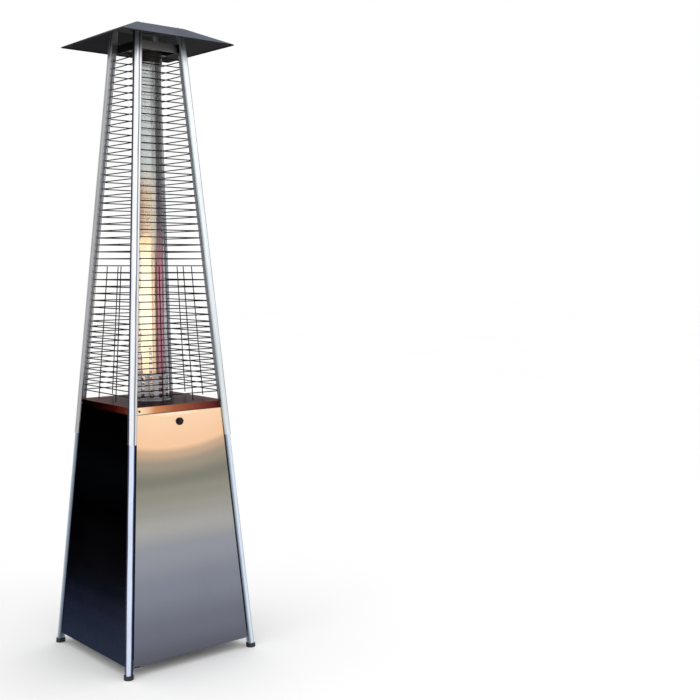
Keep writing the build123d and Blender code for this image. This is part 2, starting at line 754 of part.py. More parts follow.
# ---- top rail band, tube holder, top plate and hood ---------------------------
rail_ears = ears(RAIL_Z0, RAIL_Z1, FRAME_D)
with BuildPart() as top_rail:
    with BuildSketch(level(RAIL_Z0)):
        Rectangle(2 * ring_half(RAIL_Z0, FRAME_D), 2 * ring_half(RAIL_Z0, FRAME_D))
    with BuildSketch(level(RAIL_Z1)):
        Rectangle(2 * ring_half(RAIL_Z1, FRAME_D), 2 * ring_half(RAIL_Z1, FRAME_D))
    loft()
    with BuildSketch(level(RAIL_Z0 - 1)):
        Rectangle(2 * ring_half(RAIL_Z0 - 1, FRAME_D - SHEET), 2 * ring_half(RAIL_Z0 - 1, FRAME_D - SHEET))
    with BuildSketch(level(RAIL_Z1 + 1)):
        Rectangle(2 * ring_half(RAIL_Z1 + 1, FRAME_D - SHEET), 2 * ring_half(RAIL_Z1 + 1, FRAME_D - SHEET))
    loft(mode=Mode.SUBTRACT)
    add([rail_ears.rotate(CENTRE, 90 * i) for i in range(4)])
save(top_rail.part, "top_rail")

with BuildPart() as rail_bolts:
    with BuildSketch(face(FRAME_D - 1.5)):
        with Locations((-half(up(2199), 8.5), up(2199)), (half(up(2199), 8.5), up(2199))):
            RegularPolygon(3.5, 6)
    extrude(amount=-2.6)
save(Compound(label="frame_bolts", children=[s for b in (tray_bolts, frame_bolts, rail_bolts) for i in range(4)
                                             for s in b.part.rotate(CENTRE, 90 * i).solids()]), "frame_bolts")

arm_out = ring_half(2187, FRAME_D - SHEET) - 0.1
with BuildPart() as tube_holder:
    with BuildSketch(level(2148)):
        Circle(53.0)
        Circle(50.6, mode=Mode.SUBTRACT)
    extrude(amount=38)
    with BuildSketch(level(2164)):
        Circle(52.0)
        Circle(46.5, mode=Mode.SUBTRACT)
    extrude(amount=2)
    with BuildSketch(level(2184.2)):
        Rectangle(2 * arm_out, 18)
        Rectangle(18, 2 * arm_out)
        Circle(51, mode=Mode.SUBTRACT)
    extrude(amount=1.8)
save(tube_holder.part, "tube_holder")

with BuildPart() as top_plate:
    with BuildSketch(level(POST_Z1)):
        Rectangle(188, 188)
        Circle(60, mode=Mode.SUBTRACT)
    extrude(amount=1.5)
save(top_plate.part, "top_plate")

with BuildPart() as post_plugs:
    with BuildSketch(leg_plane(POST_Z1 - 40)):
        with BuildSketch(mode=Mode.PRIVATE) as plug_s:
            Rectangle(POST_IN - 0.1, POST_IN - 0.1, rotation=45)
            fillet(plug_s.vertices(), 4.2)
        add(plug_s.sketch)
    extrude(amount=80)
    split(bisect_by=level(POST_Z1 - 0.05), keep=Keep.BOTTOM)
save(Compound(label="post_plugs", children=[s for i in range(4) for s in post_plugs.part.rotate(CENTRE, 90 * i).solids()]), "post_plugs")

HOOD_UNDER = TOTAL_H - HOOD_T
with BuildPart() as hood:
    with BuildSketch(level(HOOD_RIM_Z)):
        Rectangle(2 * HOOD_RIM_HALF, 2 * HOOD_RIM_HALF)
    with BuildSketch(level(TOTAL_H)):
        Rectangle(2 * HOOD_TOP_HALF, 2 * HOOD_TOP_HALF)
    loft()
    # turned-down rim
    with BuildSketch(level(HOOD_RIM_Z - 4)):
        Rectangle(2 * HOOD_RIM_HALF, 2 * HOOD_RIM_HALF)
    extrude(amount=4)
    with BuildSketch(level(HOOD_RIM_Z - HOOD_T)):
        Rectangle(2 * HOOD_RIM_HALF - 2, 2 * HOOD_RIM_HALF - 2)
    with BuildSketch(level(HOOD_UNDER)):
        Rectangle(2 * HOOD_TOP_HALF - 0.6, 2 * HOOD_TOP_HALF - 0.6)
    loft(mode=Mode.SUBTRACT)
    with BuildSketch(level(HOOD_RIM_Z - 5)):
        Rectangle(2 * HOOD_RIM_HALF - 2, 2 * HOOD_RIM_HALF - 2)
    extrude(amount=4.1, mode=Mode.SUBTRACT)
save(hood.part, "hood")

with BuildPart() as hood_screws:
    with BuildSketch(level(TOTAL_H)):
        with GridLocations(2 * 80, 2 * 80, 2, 2):
            Circle(6)
    extrude(amount=4)
    fillet(hood_screws.faces().group_by(Axis.Z)[-1].edges(), 2)
save(hood_screws.part, "hood_screws")

# ---- wire guards ---------------------------------------------------------------
rows = [2156.0 - WIRE_PITCH_TOP * k for k in range(38)]          # down to about 1216
z = rows[-1] - WIRE_PITCH_LOW
while z > 945:
    rows.append(z)
    z -= WIRE_PITCH_LOW
BAR_W, BAR_GAP = 3.0, POST_W / 2 + 0.5
with BuildPart() as guard:
    # flat side bars along the posts
    with BuildSketch(face(2.5)):
        v0, v1 = up(936), up(2170)
        for sx in (-1, 1):
            with BuildLine():
                Polyline((sx * half(v0, BAR_GAP), v0), (sx * half(v0, BAR_GAP + BAR_W), v0),
                         (sx * half(v1, BAR_GAP + BAR_W), v1), (sx * half(v1, BAR_GAP), v1), close=True)
            make_face()
    extrude(amount=-5)
    for zr in rows:
        v = up(zr)
        h = half(v, BAR_GAP + BAR_W / 2)
        with BuildSketch(Plane(origin=face().from_local_coords((-h, v, 0)), x_dir=(0, 1, 0), z_dir=(1, 0, 0))):
            Circle(WIRE_R)
        extrude(amount=2 * h)
    # uprights of the lower part, fanned with the sides
    va, vb = up(936), up(1417)
    for k in (-1 / 3, 1 / 3):
        pa = face(-3.0).from_local_coords((k * half(va, 0), va, 0))
        pb = face(-3.0).from_local_coords((k * half(vb, 0), vb, 0))
        with BuildSketch(Plane(origin=pa, z_dir=pb - pa)):
            Circle(1.8)
        extrude(amount=(pb - pa).length)
for i, n in enumerate(SIDES):
    save(guard.part.rotate(CENTRE, 90 * i), f"guard_{n}")

knob_o = knob_plane(PANEL_D).origin
print("hinge point", (FOOT_P + EX * HX + (U.cross(EX)) * HY), "axis", U)
print("knob", knob_o, "normal", face().z_dir)
print("inlet end", inlet_p - Vector(0, 0, 22))
print("rows", len(rows), rows[-1])
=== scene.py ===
import json
import math

import bmesh
import bpy
from mathutils import Matrix, Vector, noise


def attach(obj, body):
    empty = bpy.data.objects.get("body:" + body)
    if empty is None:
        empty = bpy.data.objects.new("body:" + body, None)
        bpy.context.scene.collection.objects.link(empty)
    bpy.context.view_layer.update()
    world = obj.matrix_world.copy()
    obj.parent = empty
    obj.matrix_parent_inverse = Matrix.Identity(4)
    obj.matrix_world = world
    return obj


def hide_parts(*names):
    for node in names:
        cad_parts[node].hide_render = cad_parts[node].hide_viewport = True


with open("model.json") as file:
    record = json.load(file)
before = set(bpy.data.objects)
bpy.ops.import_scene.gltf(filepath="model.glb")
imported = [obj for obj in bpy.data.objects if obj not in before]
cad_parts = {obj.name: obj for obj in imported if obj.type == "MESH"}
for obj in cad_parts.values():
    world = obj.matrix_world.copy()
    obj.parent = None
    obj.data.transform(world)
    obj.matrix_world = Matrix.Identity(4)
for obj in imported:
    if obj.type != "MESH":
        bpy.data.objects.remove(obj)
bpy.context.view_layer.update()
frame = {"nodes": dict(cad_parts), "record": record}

scene = bpy.context.scene
nodes = frame["nodes"]
YC = -0.0315            # the leg square's axis, metres
A0, LEAN = 0.2575, 0.0761


def a_at(z):
    return A0 - LEAN * z


# ---------------------------------------------------------------- camera
cam_data = bpy.data.cameras.new("camera")
cam = bpy.data.objects.new("camera", cam_data)
scene.collection.objects.link(cam)
scene.camera = cam
cam_data.sensor_width = 36.0
cam_data.lens = 56.78
yaw, pitch = math.radians(40.7495), math.radians(-4.3598)
fw = Vector((math.sin(yaw) * math.cos(pitch), math.cos(yaw) * math.cos(pitch), math.sin(pitch)))
rt = Vector((math.cos(yaw), -math.sin(yaw), 0))
upv = rt.cross(fw)
cam.matrix_world = Matrix((
    (rt.x, upv.x, -fw.x, -2.0969),
    (rt.y, upv.y, -fw.y, -3.5585 + YC),
    (rt.z, upv.z, -fw.z, 1.4192),
    (0, 0, 0, 1)))
cam_data.clip_end = 60

scene.view_settings.view_transform = "Standard"
scene.view_settings.look = "None"


# ---------------------------------------------------------------- node helpers
class Mat:
    """A procedural material being built. Coordinates are the object's own, in metres."""

    def __init__(self, name):
        self.m = bpy.data.materials.new(name)
        self.m.use_nodes = True
        self.nt = self.m.node_tree
        self.nt.nodes.clear()
        self.out = self.nt.nodes.new("ShaderNodeOutputMaterial")
        self.p = self.nt.nodes.new("ShaderNodeBsdfPrincipled")
        self.link(self.p.outputs[0], self.out.inputs[0])
        self.tc = self.nt.nodes.new("ShaderNodeTexCoord")

    def link(self, a, b):
        self.nt.links.new(a, b)

    def set(self, **values):
        for k, v in values.items():
            self.p.inputs[k.replace("_", " ")].default_value = v
        return self

    def mapped(self, scale, rot=(0, 0, 0), loc=(0, 0, 0)):
        n = self.nt.nodes.new("ShaderNodeMapping")
        n.inputs["Scale"].default_value = scale
        n.inputs["Rotation"].default_value = rot
        n.inputs["Location"].default_value = loc
        self.link(self.tc.outputs["Object"], n.inputs[0])
        return n.outputs[0]

    def noise(self, scale, detail=3.0, rough=0.5, coords=None, dist=0.0):
        n = self.nt.nodes.new("ShaderNodeTexNoise")
        n.inputs["Scale"].default_value = scale
        n.inputs["Detail"].default_value = detail
        n.inputs["Roughness"].default_value = rough
        n.inputs["Distortion"].default_value = dist
        self.link(coords if coords is not None else self.tc.outputs["Object"], n.inputs["Vector"])
        return n.outputs["Fac"]

    def remap(self, value, a, b, c, d, smooth=False):
        n = self.nt.nodes.new("ShaderNodeMapRange")
        if smooth:
            n.interpolation_type = "SMOOTHSTEP"
        n.inputs[1].default_value, n.inputs[2].default_value = a, b
        n.inputs[3].default_value, n.inputs[4].default_value = c, d
        self.link(value, n.inputs[0])
        return n.outputs[0]

    def math(self, op, a, b=0.0):
        n = self.nt.nodes.new("ShaderNodeMath")
        n.operation = op
        for i, v in enumerate((a, b)):
            if hasattr(v, "is_output"):
                self.link(v, n.inputs[i])
            else:
                n.inputs[i].default_value = v
        return n.outputs[0]

    def ramp(self, value, stops, mode="LINEAR"):
        n = self.nt.nodes.new("ShaderNodeValToRGB")
        n.color_ramp.interpolation = mode
        el = n.color_ramp.elements
        while len(el) > len(stops):
            el.remove(el[-1])
        while len(el) < len(stops):
            el.new(0.5)
        for e, (pos, col) in zip(el, stops):
            e.position = pos
            e.color = (*col, 1.0) if len(col) == 3 else col
        self.link(value, n.inputs[0])
        return n.outputs[0]

    def mix(self, fac, a, b, mode="MIX"):
        n = self.nt.nodes.new("ShaderNodeMix")
        n.data_type = "RGBA"
        n.blend_type = mode
        for sock, v in ((n.inputs[0], fac), (n.inputs[6], a), (n.inputs[7], b)):
            if hasattr(v, "is_output"):
                self.link(v, sock)
            elif isinstance(v, (int, float)):
                sock.default_value = v
            else:
                sock.default_value = (*v, 1.0) if len(v) == 3 else v
        return n.outputs[2]

    def axis(self, which):
        n = self.nt.nodes.new("ShaderNodeSeparateXYZ")
        self.link(self.tc.outputs["Object"], n.inputs[0])
        return n.outputs[which]

    def bump(self, height, strength, distance):
        n = self.nt.nodes.new("ShaderNodeBump")
        n.inputs["Strength"].default_value = strength
        n.inputs["Distance"].default_value = distance
        self.link(height, n.inputs["Height"])
        self.link(n.outputs[0], self.p.inputs["Normal"])
        return n

    def edge(self, lo=0.52, hi=0.60):
        """1 on worn convex edges, 0 elsewhere."""
        n = self.nt.nodes.new("ShaderNodeNewGeometry")
        return self.remap(n.outputs["Pointiness"], lo, hi, 0, 1)


def rgb(r, g, b):
    """sRGB 0..255 to linear."""
    def f(c):
        c /= 255.0
        return c / 12.92 if c <= 0.04045 else ((c + 0.055) / 1.055) ** 2.4
    return (f(r), f(g), f(b))


def metal(name, base, rough=0.3, grain=(900, 900, 6), grain_amount=0.06, rough_var=0.08, dirt=0.04, edge_tint=None, bump=0.02):
    """Brushed or drawn metal: fine grain along z by default, soft smudges in its roughness, brighter worn edges."""
    m = Mat(name)
    m.set(Metallic=1.0)
    g = m.noise(1.0, 4.0, 0.6, m.mapped(grain))
    smudge = m.noise(5.0, 5.0, 0.6, dist=0.4)
    col = base if hasattr(base, "is_output") else None
    darker = tuple(c * (1 - grain_amount * 2) for c in base)
    lighter = tuple(min(1.0, c * (1 + grain_amount)) for c in base)
    c = m.mix(m.remap(g, 0.3, 0.7, 0, 1), darker, lighter)
    c = m.mix(m.remap(smudge, 0.35, 0.75, 0, dirt * 4), c, tuple(x * 0.75 for x in base))
    if edge_tint:
        c = m.mix(m.math("MULTIPLY", m.edge(), 0.5), c, edge_tint)
    m.link(c, m.p.inputs["Base Color"])
    r = m.math("ADD", m.remap(g, 0.3, 0.7, rough - rough_var / 2, rough + rough_var / 2), m.remap(smudge, 0.3, 0.8, -0.02, rough_var))
    m.link(r, m.p.inputs["Roughness"])
    m.bump(g, bump, 0.0004)
    return m


# ---------------------------------------------------------------- panel steel
def panel_metal(name, stops, across, arc=0.0, rough=0.30, side=0, centre=0.0, edge_dark=None, wave=0.03):
    """Brushed stainless sheet. stops run up the panel from 0.04 m to 0.90 m and carry painted reflection and painted
    shade of the surroundings, not tones of the sheet itself.
    """
    m = Mat(name)
    m.set(Metallic=1.0, Anisotropic=0.4)
    if edge_dark:
        m.p.inputs["Specular Tint"].default_value = (*edge_dark, 1.0)
    grain = m.noise(1.0, 5.0, 0.65, m.mapped(across))
    fine = m.noise(1.0, 2.0, 0.6, m.mapped(tuple(c * 3.1 for c in across)))
    z = m.axis(2)
    big = m.noise(1.3, 2.0, 0.5, m.mapped((1, 1, 2.2)))
    x = m.axis(side)
    xx = m.math("SUBTRACT", x, centre)
    bow = m.math("MULTIPLY", m.math("MULTIPLY", xx, xx), arc)
    bow = m.math("MULTIPLY", bow, m.remap(z, 0.55, 0.80, 0, 1, True))
    h = m.math("ADD", m.math("ADD", z, bow), m.remap(big, 0.3, 0.7, -wave, wave))
    h = m.remap(h, 0.04, 0.90, 0, 1)
    col = m.ramp(h, stops, "EASE")
    col = m.mix(0.07, col, m.ramp(grain, [(0.25, (0.35, 0.35, 0.35)), (0.75, (1, 1, 1))]), "MULTIPLY")
    smudge = m.noise(3.2, 6.0, 0.62, dist=0.6)
    col = m.mix(m.remap(smudge, 0.55, 0.8, 0, 0.6), col, (0.86, 0.86, 0.87), "MULTIPLY")
    m.link(col, m.p.inputs["Base Color"])
    r = m.math("ADD", m.remap(grain, 0.3, 0.7, rough - 0.04, rough + 0.05), m.remap(smudge, 0.3, 0.8, 0, 0.07))
    m.link(r, m.p.inputs["Roughness"])
    m.bump(m.math("ADD", grain, m.math("MULTIPLY", fine, 0.5)), 0.03, 0.0003)
    return m.m


# Painted reflection on the front sheet: peach at the top, olive grey in the middle, blue-grey at the bottom.
FRONT_PAINTED_REFLECTION_STOPS = [
    (0.00, rgb(98, 100, 110)), (0.11, rgb(110, 113, 126)), (0.27, rgb(128, 132, 144)), (0.43, rgb(146, 149, 156)), (0.515, rgb(165, 164, 161)),
    (0.60, rgb(154, 152, 143)), (0.67, rgb(145, 142, 130)), (0.725, rgb(130, 128, 117)), (0.79, rgb(160, 149, 132)), (0.835, rgb(200, 170, 142)),
    (0.868, rgb(247, 203, 164)), (0.985, rgb(251, 213, 176)), (1.00, rgb(255, 234, 206)),
]
# Painted shade and painted dark reflection on the left sheet: near black at the top, dark slate at the bottom.
LEFT_PAINTED_REFLECTION_STOPS = [
    (0.00, rgb(72, 78, 92)), (0.12, rgb(64, 68, 80)), (0.20, rgb(57, 59, 69)), (0.28, rgb(46, 48, 54)), (0.36, rgb(39, 39, 43)), (0.46, rgb(30, 29, 32)),
    (0.58, rgb(18, 18, 22)), (0.66, rgb(23, 24, 28)), (0.76, rgb(27, 29, 34)), (0.86, rgb(16, 18, 22)), (1.00, rgb(12, 12, 15)),
]
# Painted reflection on the right and rear sheets: blue-grey at the bottom, warm at the top.
REAR_PAINTED_REFLECTION_STOPS = [
    (0.00, rgb(96, 97, 106)), (0.30, rgb(122, 124, 134)), (0.50, rgb(148, 148, 146)), (0.68, rgb(132, 130, 122)), (0.82, rgb(170, 158, 144)), (1.00, rgb(200, 182, 164)),
]
M_front = panel_metal("panel_front_steel", FRONT_PAINTED_REFLECTION_STOPS, (700, 700, 5), arc=-0.75, rough=0.33, centre=-0.03, wave=0.012)
M_left = panel_metal("panel_left_steel", LEFT_PAINTED_REFLECTION_STOPS, (700, 700, 5), rough=0.24, side=1, centre=YC, edge_dark=(0.1, 0.1, 0.12), wave=0.012)
M_right = panel_metal("panel_right_steel", REAR_PAINTED_REFLECTION_STOPS, (700, 700, 5), arc=-0.5, rough=0.33, side=1, centre=YC)
M_rear = panel_metal("panel_rear_steel", REAR_PAINTED_REFLECTION_STOPS, (700, 700, 5), arc=-0.5, rough=0.33)

# ---------------------------------------------------------------- other CAD materials


def corner_metal(name, stops, width, rough=0.30, grain=(1100, 1100, 5)):
    """Corner profile. stops run from the inner edge of its side face (-1) over the outer corner (0) to the inner edge
    of its front or rear face (1), and carry painted highlights and painted shade standing in for reflections.
    """
    m = Mat(name)
    m.set(Metallic=1.0, Anisotropic=0.3)
    ax = m.math("ABSOLUTE", m.axis(0))
    ay = m.math("ABSOLUTE", m.math("SUBTRACT", m.axis(1), YC))
    wob = m.noise(1.0, 3.0, 0.5, m.mapped((40, 40, 3)))
    t = m.math("DIVIDE", m.math("SUBTRACT", ay, ax), width)
    t = m.math("ADD", t, m.remap(wob, 0.3, 0.7, -0.05, 0.05))
    col = m.ramp(m.remap(t, -1, 1, 0, 1), [((p + 1) / 2, rgb(*c)) for p, c in stops])
    g = m.noise(1.0, 4.0, 0.6, m.mapped(grain))
    smudge = m.noise(7.0, 5.0, 0.6, dist=0.4)
    col = m.mix(m.remap(g, 0.3, 0.7, 0.12, 0.0), col, (0.4, 0.42, 0.46), "MULTIPLY")
    col = m.mix(m.remap(smudge, 0.5, 0.8, 0, 0.5), col, (0.84, 0.85, 0.88), "MULTIPLY")
    m.link(col, m.p.inputs["Base Color"])
    m.link(m.math("ADD", m.remap(g, 0.3, 0.7, rough - 0.04, rough + 0.04), m.remap(smudge, 0.3, 0.8, -0.02, 0.08)), m.p.inputs["Roughness"])
    m.bump(g, 0.02, 0.0004)
    return m


# Posts: painted highlight bands and painted shade at the edges, each post with its own copy.
M_post = corner_metal("post_painted_reflection", [(-1, (120, 122, 128)), (-0.5, (178, 180, 186)), (0, (214, 216, 222)), (0.5, (178, 180, 186)), (1, (120, 122, 128))], 0.026)
M_post_near = corner_metal("post_front_left_painted_reflection", [
    (-1, (28, 24, 42)), (-0.56, (40, 36, 58)), (-0.42, (226, 230, 240)), (-0.3, (242, 245, 252)), (0.34, (240, 243, 250)), (0.44, (134, 140, 144)),
    (0.58, (136, 142, 145)), (0.68, (224, 225, 228)), (0.9, (214, 208, 206)), (1, (150, 140, 138))], 0.026)
M_post_left = corner_metal("post_rear_left_painted_reflection", [(-1, (170, 170, 171)), (-0.6, (184, 184, 186)), (-0.25, (198, 199, 200)), (-0.05, (222, 223, 225)), (0.1, (222, 223, 225)), (1, (166, 167, 171))], 0.026)
M_post_right = corner_metal("post_front_right_painted_reflection", [
    (-1, (120, 124, 130)), (-0.1, (92, 96, 102)), (0.08, (92, 96, 102)), (0.2, (222, 228, 232)), (0.5, (236, 241, 244)), (0.82, (206, 216, 218)), (1, (140, 146, 148))], 0.026)
# Legs: painted highlight bands and painted shade at the edges, dark navy on the near leg, each leg with its own copy.
M_leg = corner_metal("leg_silver", [(-1, (120, 126, 138)), (-0.4, (176, 182, 194)), (0, (206, 210, 218)), (0.4, (176, 182, 194)), (1, (120, 126, 138))], 0.022)
M_leg_near = corner_metal("leg_front_left_silver", [
    (-1, (18, 20, 44)), (-0.62, (26, 30, 62)), (-0.5, (90, 98, 138)), (-0.38, (218, 228, 248)), (0.48, (222, 232, 250)), (0.62, (84, 96, 136)), (0.74, (14, 20, 50)), (1, (12, 16, 44))], 0.022)
M_leg_left = corner_metal("leg_rear_left_silver", [(-1, (104, 116, 132)), (-0.5, (150, 161, 176)), (-0.1, (208, 214, 224)), (0.1, (208, 214, 224)), (1, (130, 138, 150))], 0.022)
M_leg_right = corner_metal("leg_front_right_silver", [
    (-1, (120, 128, 138)), (-0.05, (150, 160, 168)), (0.1, (168, 178, 186)), (0.26, (218, 228, 242)), (0.6, (216, 228, 242)), (0.8, (156, 170, 184)), (1, (90, 100, 112))], 0.022)
M_frame = metal("frame_galvanised", rgb(150, 150, 152), rough=0.45, grain=(60, 60, 60), grain_amount=0.10, dirt=0.08)
M_screw = metal("screw_bright", rgb(170, 168, 165), rough=0.25, grain=(400, 400, 400), grain_amount=0.05)
M_burner = metal("burner_heat_tint", rgb(176, 170, 168), rough=0.28, grain=(500, 500, 40), grain_amount=0.12, dirt=0.12, edge_tint=rgb(232, 226, 222))
M_brass = metal("fitting_brass_turned", rgb(196, 158, 84), rough=0.30, grain=(90, 90, 2500), grain_amount=0.08)
M_valve = metal("valve_die_cast", rgb(126, 126, 130), rough=0.5, grain=(300, 300, 300), grain_amount=0.12, dirt=0.12)
M_holder = metal("holder_dark_paint", rgb(46, 43, 42), rough=0.42, grain=(200, 200, 200), grain_amount=0.10, dirt=0.10)


def deck_metal():
    m = Mat("deck_painted_reflection_steel")
    m.set(Metallic=1.0)
    m.p.inputs["Specular Tint"].default_value = (0.35, 0.3, 0.3, 1.0)
    g = m.noise(1.0, 4.0, 0.6, m.mapped((14, 900, 900)))
    big = m.noise(7.0, 4.0, 0.55, dist=0.5)
    x, y = m.axis(0), m.math("SUBTRACT", m.axis(1), YC)
    reach = m.math("MAXIMUM", m.math("ABSOLUTE", x), m.math("ABSOLUTE", y))
    # Top: darker towards the centre, with a painted brown flame reflection towards the rim.
    top = m.ramp(m.math("ADD", m.remap(reach, 0.05, 0.2, 0, 1), m.remap(big, 0.3, 0.7, -0.12, 0.12)),
                 [(0.0, rgb(16, 14, 15)), (0.5, rgb(24, 19, 20)), (0.68, rgb(60, 36, 33)), (0.86, rgb(106, 60, 50)), (1.0, rgb(128, 72, 58))])
    # Painted reflection on the front lip: peach at -X, through copper, to dark at +X.
    front = m.ramp(m.math("ADD", m.remap(x, -0.19, 0.19, 0, 1), m.remap(big, 0.3, 0.7, -0.05, 0.05)),
                   [(0.0, rgb(255, 232, 196)), (0.10, rgb(250, 214, 172)), (0.24, rgb(206, 138, 94)), (0.45, rgb(160, 92, 64)), (0.70, rgb(126, 62, 48)), (0.90, rgb(92, 38, 34)), (1.0, rgb(36, 14, 14))])
    # Painted reflection on the side lips: brown at -Y fading to dark at +Y.
    side = m.ramp(m.math("ADD", m.remap(y, -0.19, 0.19, 0, 1), m.remap(big, 0.3, 0.7, -0.08, 0.08)),
                  [(0.0, rgb(104, 58, 46)), (0.3, rgb(66, 36, 31)), (0.7, rgb(30, 20, 20)), (1.0, rgb(16, 12, 13))])
    # Each face takes the front, rear, side or top painted tones by the way it faces, like lit and shaded copies.
    geo = m.nt.nodes.new("ShaderNodeNewGeometry")
    sep = m.nt.nodes.new("ShaderNodeSeparateXYZ")
    m.link(geo.outputs["Normal"], sep.inputs[0])
    side_fac = m.remap(m.math("ABSOLUTE", sep.outputs[0]), 0.4, 0.7, 0, 1)
    up_fac = m.remap(m.math("ABSOLUTE", sep.outputs[2]), 0.4, 0.7, 0, 1)
    # Rear lip: painted warm brown reflection.
    rear = m.ramp(big, [(0.35, rgb(110, 60, 46)), (0.65, rgb(164, 98, 70))])
    front = m.mix(m.remap(sep.outputs[1], -0.1, 0.1, 0, 1), front, rear)
    c = m.mix(side_fac, front, side)
    c = m.mix(up_fac, c, top)
    c = m.mix(m.remap(g, 0.3, 0.7, 0.0, 0.25), c, (0.6, 0.5, 0.5), "MULTIPLY")
    m.link(c, m.p.inputs["Base Color"])
    m.link(m.remap(g, 0.3, 0.7, 0.26, 0.36), m.p.inputs["Roughness"])
    m.bump(g, 0.03, 0.0003)
    return m


M_deck = deck_metal()


def paint(name, base, rough=0.5, speckle=0.5, spec=0.5, metallic=0.0, scale=900.0, chalk=0.10, sky=None):
    """Powder coat or moulded plastic: orange peel, faint chalking, worn edges, and, when sky is given, a painted sky
    reflection on faces that look up.
    """
    m = Mat(name)
    m.set(Metallic=metallic)
    m.p.inputs["Specular IOR Level"].default_value = spec
    peel = m.noise(scale, 2.0, 0.5)
    cloud = m.noise(9.0, 5.0, 0.6, dist=0.5)
    c = m.mix(m.remap(cloud, 0.35, 0.75, 0, chalk * 3), base, tuple(min(1, x * 1.5 + 0.01) for x in base))
    c = m.mix(m.remap(peel, 0.45, 0.75, 0, 0.25 * speckle), c, tuple(x * 0.6 for x in base))
    c = m.mix(m.math("MULTIPLY", m.edge(0.53, 0.62), 0.35), c, tuple(min(1, x * 2.0 + 0.03) for x in base))
    # Painted reflection: faces that look up take the sky colour, less where they face -X.
    if sky:
        geo = m.nt.nodes.new("ShaderNodeNewGeometry")
        sep = m.nt.nodes.new("ShaderNodeSeparateXYZ")
        m.link(geo.outputs["Normal"], sep.inputs[0])
        upper = m.math("MULTIPLY", m.remap(sep.outputs[2], 0.1, 0.5, 0, 1), m.remap(sep.outputs[0], -0.35, -0.1, 0.12, 1))
        c = m.mix(upper, c, m.mix(m.remap(cloud, 0.35, 0.75, 0, 1), sky, tuple(x * 0.8 for x in sky)))
    m.link(c, m.p.inputs["Base Color"])
    m.link(m.math("ADD", m.remap(peel, 0.3, 0.7, rough - 0.05, rough + 0.05), m.remap(cloud, 0.3, 0.8, -0.03, 0.08)), m.p.inputs["Roughness"])
    m.bump(peel, 0.12, 0.0003)
    return m


M_wire = paint("guard_black_coat", rgb(15, 13, 15), rough=0.5, spec=0.05, scale=1500)
wx, wy = M_wire.math("ABSOLUTE", M_wire.axis(0)), M_wire.math("ABSOLUTE", M_wire.math("SUBTRACT", M_wire.axis(1), YC))
reach = M_wire.math("ADD", M_wire.math("MINIMUM", wx, wy), M_wire.math("MULTIPLY", M_wire.axis(2), LEAN))
wire_src = M_wire.p.inputs["Base Color"].links[0].from_socket
M_wire.link(M_wire.mix(M_wire.remap(reach, A0 - 0.0185, A0 - 0.0165, 0, 1), wire_src, rgb(128, 130, 136)), M_wire.p.inputs["Base Color"])
# The hood gets a painted bluish sky reflection on its upper faces.
M_hood = paint("hood_charcoal_coat", rgb(25, 25, 28), rough=0.5, spec=0.03, scale=1300, sky=rgb(84, 90, 104))
M_hood_inner = paint("hood_inner_black_coat", rgb(20, 20, 22), rough=0.5, spec=0.03, scale=1300)
M_screw_dark = metal("lip_screw_dark", rgb(58, 50, 46), rough=0.35, grain=(400, 400, 400), grain_amount=0.08)
M_rail = metal("rail_grey_coat", rgb(152, 151, 147), rough=0.38, grain=(8, 8, 900), grain_amount=0.06, dirt=0.08)
M_rail.p.inputs["Specular Tint"].default_value = (0.4, 0.4, 0.4, 1.0)
# Painted shade: faces turned towards +X or -X are darkened nearly to black.
rail_geo = M_rail.nt.nodes.new("ShaderNodeNewGeometry")
rail_sep = M_rail.nt.nodes.new("ShaderNodeSeparateXYZ")
M_rail.link(rail_geo.outputs["Normal"], rail_sep.inputs[0])
rail_src = M_rail.p.inputs["Base Color"].links[0].from_socket
M_rail.link(M_rail.mix(M_rail.remap(M_rail.math("ABSOLUTE", rail_sep.outputs[0]), 0.4, 0.7, 0, 0.92), rail_src, rgb(20, 20, 22)), M_rail.p.inputs["Base Color"])
M_screen = metal("screen_bright_steel", rgb(178, 174, 178), rough=0.24, grain=(500, 500, 40), grain_amount=0.08, dirt=0.08)
M_foot = paint("foot_black_rubber", rgb(22, 22, 24), rough=0.65, scale=700, chalk=0.2)
M_knob = paint("knob_black_plastic", rgb(20, 14, 14), rough=0.45, spec=0.25, scale=1500)
M_plug = paint("plug_black_plastic", rgb(30, 30, 32), rough=0.55)
M_tyre = paint("tyre_black_rubber", rgb(34, 34, 36), rough=0.7, scale=500, chalk=0.25)
M_ceramic = paint("electrode_white_ceramic", rgb(232, 226, 214), rough=0.25, scale=400)
M_gasket = paint("gasket_red_silicone", rgb(150, 52, 36), rough=0.55)
M_plate = paint("burner_plate_black", rgb(26, 25, 27), rough=0.45, scale=1100)

BY_SLOT = {
    "leg_steel": M_leg, "post_aluminium": M_post, "foot_rubber": M_foot, "deck_steel": M_deck, "frame_steel": M_frame, "screw_steel": M_screw,
    "burner_steel": M_burner, "electrode_ceramic": M_ceramic, "fitting_brass": M_brass, "valve_cast": M_valve, "gasket_rubber": M_gasket,
    "knob_plastic": M_knob, "magnet_black": M_plug, "plug_plastic": M_plug, "holder_black": M_holder, "hood_paint": M_hood, "guard_wire": M_wire,
    "wheel_rubber": M_tyre, "burner_plate_paint": M_plate,
}
OWN = {
    "front_panel": M_front, "panel_left": M_left, "panel_right": M_right, "panel_rear": M_rear,
    "post_front_left": M_post_near.m, "post_rear_left": M_post_left.m, "post_front_right": M_post_right.m,
    "leg_front_left": M_leg_near.m, "leg_rear_left": M_leg_left.m, "leg_front_right": M_leg_right.m,
    "lip_screws": M_screw_dark.m, "top_rail": M_rail.m, "top_plate": M_hood_inner.m, "burner_screen": M_screen.m, "tube_seat": M_plate.m,
}
slots = {s["node"]: s["material_slot"] for s in frame["record"]["subparts"]}
